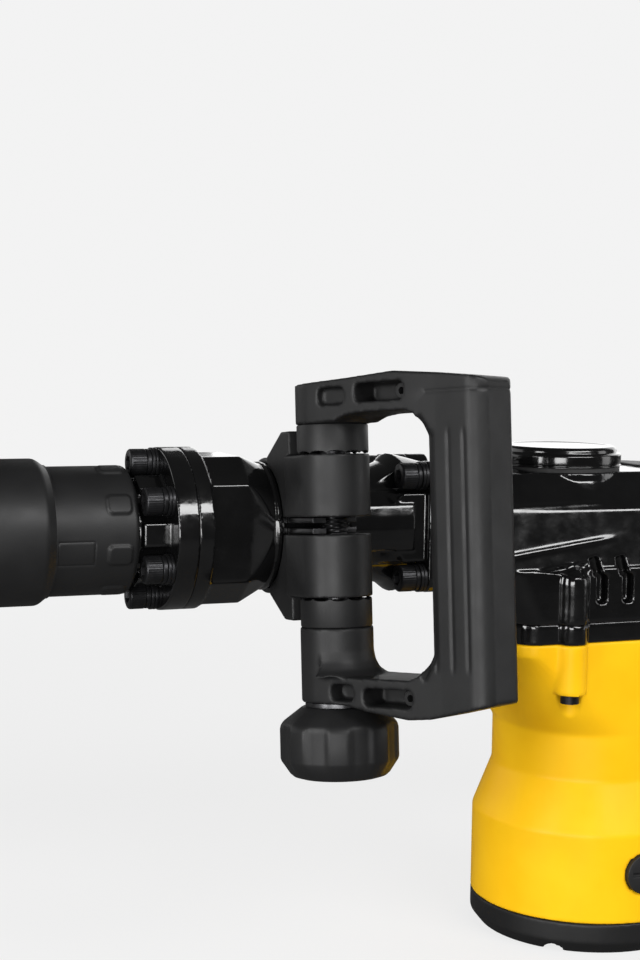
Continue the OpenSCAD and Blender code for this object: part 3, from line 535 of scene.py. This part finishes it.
def change_ring():
    """Change ring with eight raised grip pads near its rear, a plain engraved frame and index teeth."""
    skirt_end = RING_FRONT + SKIRT_DEPTH
    rings = [(RING_FRONT, SKIRT_BORE), (RING_FRONT, RING_R - 0.3), (RING_FRONT + 0.3, RING_R),
             (59.0, RING_R)]
    rings += [(x, ring_skin(x)) for x in (59.5 + 0.45 * k for k in range(80))]
    for k in range(7):
        turn = math.pi / 2 * k / 6
        rings.append((RING_REAR - RING_EDGE * (1 - math.sin(turn)),
                      RING_R - RING_EDGE * (1 - math.cos(turn))))
    rings += [(RING_REAR, SPLINE_BORE), (skirt_end, SPLINE_BORE), (skirt_end, SKIRT_BORE)]
    stand_for(revolve("change_ring_shell", rings, 320, closed=True), "change_ring")
    teeth = bmesh.new()
    block = (Matrix.Translation(Vector((RING_REAR + 1.2, 0, TOOTH_R)) * MM)
             @ Matrix.Diagonal((*TOOTH_SIZE * MM, 1)))
    for k in range(POSITIONS):
        turn = Matrix.Rotation(math.tau * k / POSITIONS, 4, "X")
        bmesh.ops.create_cube(teeth, size=1.0, matrix=turn @ block)
    bmesh.ops.bevel(teeth, geom=teeth.edges[:], offset=0.25 * MM, segments=2, affect="EDGES")
    stand_for(mesh_object("change_ring_teeth", teeth), "change_ring")


def index_ring(name):
    """Index ring along +X whose inner end is scalloped where it meets the jaw."""
    near, far, outer, inner = 32.3, 45.4, 16.2, 6.2
    depth = 1.0

    def edge(back):
        def place_at(angle):
            share = abs((angle * POSITIONS / math.tau) % 1.0 - 0.5) * 2
            return near + back + depth * (1 - share ** 3)
        return place_at

    rings = [(near + depth, inner), (near + depth, outer - 2), (edge(0), outer - 1.2),
             (edge(0), outer - 0.3), (edge(0.25), outer), (far - 0.6, outer),
             (far - 0.15, outer - 0.2), (far, outer - 0.7), (far, inner)]
    return revolve(name, rings, 288, closed=True)


def crank_cover():
    """Round cover with a stepped, dished top."""
    low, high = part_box("crank_cover")
    middle = (low + high) / 2 / MM
    outer, top = (high.x - low.x) / 2 / MM, high.z / MM
    foot = low.z / MM
    outline = [(foot, 0, 0), (foot, 28, 0), (27.0, 28, 0), (27.0, outer, 0.3), (27.7, outer, 0.3),
               (27.9, outer - 0.5, 0.2), (28.4, outer - 0.5, 0.2), (28.6, outer, 0.3),
               (top - 3.6, outer, 1.0), (top - 3.3, 28.9, 0.7), (top - 1.2, 28.5, 0.9),
               (top, 27.4, 0.8), (top, 25.2, 0.6), (top - 0.4, 24.0, 0.6), (top - 0.5, 12, 4.0),
               (top - 0.5, 0, 0)]
    cover = revolve("crank_cover_shell", soften(outline), 128)
    at = Matrix.Translation(Vector((middle.x, middle.y, 0)) * MM)
    stand_for(put(cover, at @ UPRIGHT), "crank_cover")


# ---------------------------------------------------------------- clamp frame

# The clamp bolt is the axis that the side handle swings on. At rest, the handle is swung out by SWING.
SWING_JOINT = next(j for j in frame["record"]["behaviour"]["joints"] if j["name"] == "handle_swing")
SWING_AXIS = SWING_JOINT["axis"]
STACK_FRAME = (Matrix.Translation(SWING_JOINT["pos_m"])
               @ Matrix.Rotation(-math.atan2(SWING_AXIS[1], SWING_AXIS[2]), 4, "X"))
SWING = math.radians(-62.0)
HANDLE_FRAME = STACK_FRAME @ Matrix.Rotation(SWING, 4, "Z")


def clamp_knob():
    """Knob with eight broad shallow flutes, a conical top and a chamfered foot."""
    top, foot, outer = -81.3, -113.4, 26.8

    def fluted(radius, depth):
        return lambda a: radius - depth * smooth_step(0.25, 0.85, 0.5 + 0.5 * math.cos(8 * a))

    rings = [(top, 6.2), (top, 16.3), (top - 0.3, 16.9)]
    for z, radius, depth in ((-87.6, 24.9, 0.2), (-88.6, 25.8, 0.5), (-89.6, 26.4, 0.9),
                             (-91.2, outer, 1.25), (-97, outer, 1.4), (-104.2, outer, 1.25),
                             (-105.4, 26.4, 0.9), (-111.0, 22.6, 0.1)):
        rings.append((z, fluted(radius, depth)))
    rings += [(-112.2, 21.2), (-113.0, 18.5), (foot, 15.0), (foot, 12.5), (-111.6, 11.6), (-111.4, 0)]
    knob = revolve("clamp_knob_shell", rings, 256)
    stand_for(put(knob, STACK_FRAME @ UPRIGHT), "clamp_knob")


def index_rings():
    """Both index rings, the lower one upside down."""
    for name, turn in (("index_ring_upper", UPRIGHT), ("index_ring_lower", UPSIDE_DOWN)):
        stand_for(put(index_ring(name), HANDLE_FRAME @ turn), "index_rings")


def clamp_bolt():
    """Bolt with a hexagon head and a thread where it crosses the clamp gap."""
    radius, pitch, depth = 5.95, 1.75, 0.55

    def thread(z):
        def radius_at(angle):
            share = (z / pitch - angle / math.tau) % 1.0
            return radius - depth * (1 - abs(2 * share - 1))
        return radius_at

    low, high, head = -105.6, 53.0, 60.0
    rings = [(low, 0), (low, radius - 1), (low + 1, radius), (-12.0, radius)]
    rings += [(z, thread(z)) for z in (-11.8 + 0.25 * k for k in range(95))]
    rings += [(12.2, radius), (high, radius), (high, hexagon(17)), (head - 0.8, hexagon(17)),
              (head, 7.8), (head, 0)]
    stand_for(put(revolve("clamp_bolt_shell", rings, 60), STACK_FRAME @ UPRIGHT), "clamp_bolt")


# Each boss is (name, distance from the bolt, height).
BOSSES = (("handle_boss_upper", 47.6, 58.0), ("handle_boss_lower", 48.4, -74.6))


def handle_bosses():
    """Screw bosses at the outer ends of the long windows of the side handle."""
    rings = [(-9.5, 1.6), (-9.5, 3.2), (-9.1, 3.6), (9.1, 3.6), (9.5, 3.2), (9.5, 1.6)]
    for name, out, height in BOSSES:
        at = HANDLE_FRAME @ Matrix.Translation(Vector((out, 0, height)) * MM)
        stand_for(put(revolve(name, rings, 48, closed=True), at @ ACROSS), "side_handle")


# ---------------------------------------------------------------- carved detail


def pulse(distance, width):
    """1 on a line, falling to 0 within about twice the width."""
    return np.exp(-(distance / width) ** 2)


def step(low, high, value):
    """smooth_step for numpy arrays."""
    t = np.clip((value - low) / (high - low), 0, 1)
    return t * t * (3 - 2 * t)


def to_line(u, v, start, end):
    """Distance of (u, v) from the stretch between start and end."""
    (u0, v0), (du, dv) = start, (end[0] - start[0], end[1] - start[1])
    share = np.clip(((u - u0) * du + (v - v0) * dv) / (du ** 2 + dv ** 2), 0, 1)
    return np.hypot(u - u0 - share * du, v - v0 - share * dv)


def inside(u, v, corners):
    """Distance of (u, v) into a convex outline given counter-clockwise; negative outside."""
    depth = np.full(u.shape, 1e3)
    for (au, av), (bu, bv) in zip(corners, corners[1:] + corners[:1]):
        length = math.hypot(bu - au, bv - av)
        depth = np.minimum(depth, ((bu - au) * (v - av) - (bv - av) * (u - au)) / length)
    return depth


GROOVES_AT, GROOVE_W, GROOVE_DEPTH = (66.5, 75, 83), 0.9, 0.4
SEAM_AT, SEAM_W, SEAM_DEPTH = 56.5, 0.6, 0.35


def handle_grooves(spots, normals):
    """Three grooves down the face of the grip, and the seam of its end cap."""
    turn = np.array(HANDLE_FRAME.to_3x3())
    local = (spots - np.array(HANDLE_FRAME.translation) / MM) @ turn
    facing = normals @ turn
    out, z = local[:, 0], local[:, 2]
    on_face = step(-64, -58, z) * step(42, 36, z) * (np.abs(facing[:, 1]) > 0.6)
    grooves = sum(pulse(out - at, GROOVE_W) for at in GROOVES_AT) * on_face
    seam = pulse(z - SEAM_AT, SEAM_W) * (out > 63) * (np.abs(facing[:, 2]) < 0.5)
    return -GROOVE_DEPTH * grooves - SEAM_DEPTH * seam


# Places of the gear housing's side forms, as (x, z).
UPPER_CREASE = (272, 9.6), (330, 11.0)
LOWER_CREASE = (270, -13.6), (333, -5.6)
FIN = [(286.8, -19.8), (315.7, -24.0), (316.9, -16.3)]
CREASE_W, CREASE_H, FIN_DEPTH = 1.3, 0.6, 1.4


def gear_housing_forms(spots, normals):
    """Two long creases and a fin-shaped recess on each side."""
    x, y, z = spots.T
    side = np.abs(normals[:, 1]) > 0.3
    upper = pulse(to_line(x, z, *UPPER_CREASE), CREASE_W) * step(336, 322, x)
    lower = pulse(to_line(x, z, *LOWER_CREASE), CREASE_W) * step(338, 322, x)
    fin = step(-0.3, 1.3, inside(x, z, FIN)) * (np.abs(y) > 40)
    return side * (CREASE_H * upper + CREASE_H * lower - FIN_DEPTH * fin)


CARVED = {"side_handle": handle_grooves, "gear_housing": gear_housing_forms}

# ---------------------------------------------------------------- pieces

# Castings and mouldings, with their voxel size in millimetres and their smoothing passes.
CAST = {
    "front_flange": (0.6, 3),
    "barrel_housing": (0.7, 4),
    "gear_housing": (0.8, 4),
    "bearing_plate": (0.8, 3),
    "motor_housing": (0.9, 4),
    "end_cover": (0.9, 4),
    "clamp_jaws": (0.55, 3),
    "side_handle": (0.75, 6),
    "rear_handle_left": (0.9, 5),
    "rear_handle_right": (0.9, 5),
    "rear_grip_cover": (0.8, 5),
}
# Pieces that keep their CAD shape, with the width of the bevel on their edges in millimetres.
MACHINED = {
    "dust_cap": 0.5,
    "brush_caps": 0.4,
    "trigger": 0.8,
    "lock_button": 0.5,
    "speed_dial": 0.3,
    "cord_gland": 0.5,
    "clamp_band": 0.2,
    "knob_washer": 0.2,
    "tool_holder": 0.3,
}
for node_name, (voxel, passes) in CAST.items():
    cast(node_name, voxel, passes, depth_at=CARVED.get(node_name))
for node_name, width in MACHINED.items():
    machined(node_name, width)
barrel_screws()
release_collar()
change_ring()
crank_cover()
clamp_knob()
clamp_bolt()
index_rings()
handle_bosses()
for node_name, obj in NODES.items():
    paint(obj, SLOT_OF[node_name])

# ---------------------------------------------------------------- stage


def softbox(name, place, aim, size, power):
    """A rectangular lamp at place, turned towards aim; size in metres, power in watts."""
    lamp = bpy.data.lights.new(name, "AREA")
    lamp.shape = "RECTANGLE"
    lamp.size, lamp.size_y = size
    lamp.energy = power
    obj = bpy.data.objects.new(name, lamp)
    bpy.context.scene.collection.objects.link(obj)
    obj.location = place
    obj.rotation_euler = (Vector(aim) - Vector(place)).to_track_quat("-Z", "Y").to_euler()


# The camera sees a brighter backdrop and floor than those that light the hammer.
BACKDROP = 0.895
FLOOR_GLOW = 0.78
FLOOR_PALE = 0.13
FLOOR_DIM = 0.1
ROOM = 0.06
HEART = (0.2, 0, 0)
# Each lamp is (name, place, aim, size, power).
LAMPS = (
    ("nose_side", (-1.3, -0.6, 0.25), HEART, (0.5, 0.9), 17),
    ("front", (0.62, -1.25, 0.8), HEART, (1.2, 0.35), 17),
    ("tail_side", (1.6, -0.5, 0.2), HEART, (0.5, 0.9), 3),
    ("back", (0.7, 1.4, 0.1), HEART, (2.0, 0.5), 0.6),
    ("far_tail", (1.3, 1.2, 0.5), HEART, (1.7, 1.0), 8),
    ("far_nose", (-1.0, 1.2, 0.4), HEART, (1.4, 0.9), 4),
    ("low_front", (-0.5, -1.25, 0.0), (0.33, 0, -0.13), (0.9, 0.34), 11),
)
EYE = (-0.1214, -0.8061, 0.0972)
YAW, PITCH, ROLL = math.radians(21.45), math.radians(5.01), math.radians(0.85)
LENS = 67.5


def camera_switch(tree, elsewhere, seen):
    """A level that differs between what the camera sees and what lights the hammer."""
    path = tree.nodes.new("ShaderNodeLightPath")
    return spread(tree, path.outputs["Is Camera Ray"], elsewhere, seen, 0.0, 1.0)


def floor():
    """A wide pale disc under the hammer that fades into the backdrop."""
    shape = bmesh.new()
    bmesh.ops.create_circle(shape, cap_ends=True, radius=12.0, segments=96)
    obj = mesh_object("floor", shape)
    obj.location.z = CAD_BOX[0].z
    material, tree, shader, where = shader_tree("pale_floor")
    radius = tree.nodes.new("ShaderNodeVectorMath")
    radius.operation = "LENGTH"
    tree.links.new(where, radius.inputs[0])
    far = spread(tree, radius.outputs["Value"], 0.0, 1.0, 500, 1600)
    near = tint(tree, camera_switch(tree, 0.0, 1.0), (FLOOR_DIM,) * 3, (FLOOR_PALE,) * 3)
    tree.links.new(tint(tree, far, near, (0, 0, 0)), shader.inputs["Base Color"])
    shader.inputs["Roughness"].default_value = 0.9
    shader.inputs["Specular IOR Level"].default_value = 0.0
    glow = tint(tree, far, (FLOOR_GLOW,) * 3, (BACKDROP,) * 3)
    tree.links.new(glow, shader.inputs["Emission Color"])
    tree.links.new(camera_switch(tree, ROOM, 1.0), shader.inputs["Emission Strength"])
    bump(tree, shader, [(noise(tree, where, 3.0, 3.0), 0.05)])
    obj.data.materials.append(material)


def surroundings():
    """A pale backdrop in a dim room."""
    world = bpy.data.worlds.new("room")
    bpy.context.scene.world = world
    world.use_nodes = True
    tree = world.node_tree
    background = tree.nodes["Background"]
    background.inputs["Color"].default_value = (1, 1, 1, 1)
    tree.links.new(camera_switch(tree, ROOM, BACKDROP), background.inputs["Strength"])


def camera():
    """The camera at the place from which the hammer was seen."""
    data = bpy.data.cameras.new("camera")
    data.sensor_width = 36
    data.lens = LENS
    data.clip_end = 100
    obj = bpy.data.objects.new("camera", data)
    bpy.context.scene.collection.objects.link(obj)
    turn = (Matrix.Rotation(-YAW, 4, "Z") @ Matrix.Rotation(math.pi / 2 - PITCH, 4, "X")
            @ Matrix.Rotation(ROLL, 4, "Z"))
    obj.matrix_world = Matrix.Translation(EYE) @ turn
    bpy.context.scene.camera = obj


floor()
surroundings()
camera()
for lamp_row in LAMPS:
    softbox(*lamp_row)
bpy.context.scene.view_settings.view_transform = "Standard"
